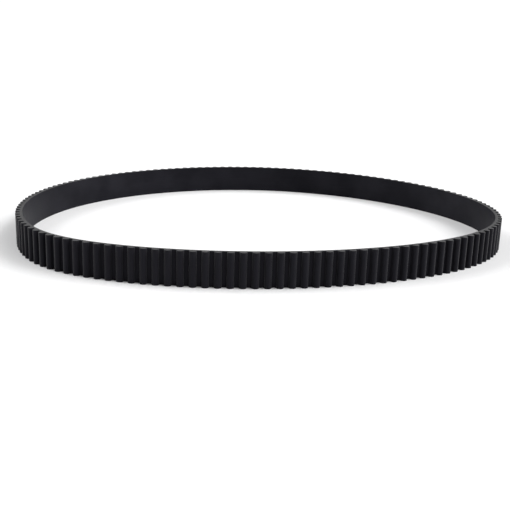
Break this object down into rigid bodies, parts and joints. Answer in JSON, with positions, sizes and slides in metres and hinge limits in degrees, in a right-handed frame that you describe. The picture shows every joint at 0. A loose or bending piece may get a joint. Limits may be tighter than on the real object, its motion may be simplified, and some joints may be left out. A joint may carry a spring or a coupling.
{
  "type": "timing belt",
  "caption": "Endless rubber timing belt with round moulded teeth on the outside of a relaxed, slightly egg-shaped loop, standing on its cut edge.",
  "frame": {"origin": "centre of the bounding box of the loop on the plane of the lower cut edge, where the belt stands", "axes": "+Z across the belt's width, away from the surface that it stands on; +X along the loop's longer extent, with the sharper bend of the loop at -X -Y"},
  "size_m": [0.2412, 0.2156, 0.015],
  "materials": {
    "backing_rubber": "smooth moulded chloroprene back, satin",
    "tooth_rubber": "chloroprene, grey and matt where the knife cut it",
    "facing_fabric": "black nylon tooth facing, satin",
    "glass_cord": "twisted glass fibre cord, treated"
  },
  "bodies": {
    "root": {"backing_rubber": "backing_rubber", "tension_cord_s_twist": "glass_cord", "tension_cord_z_twist": "glass_cord", "tooth_rubber": "tooth_rubber", "tooth_facing_fabric": "facing_fabric"}
  },
  "joints": []
}
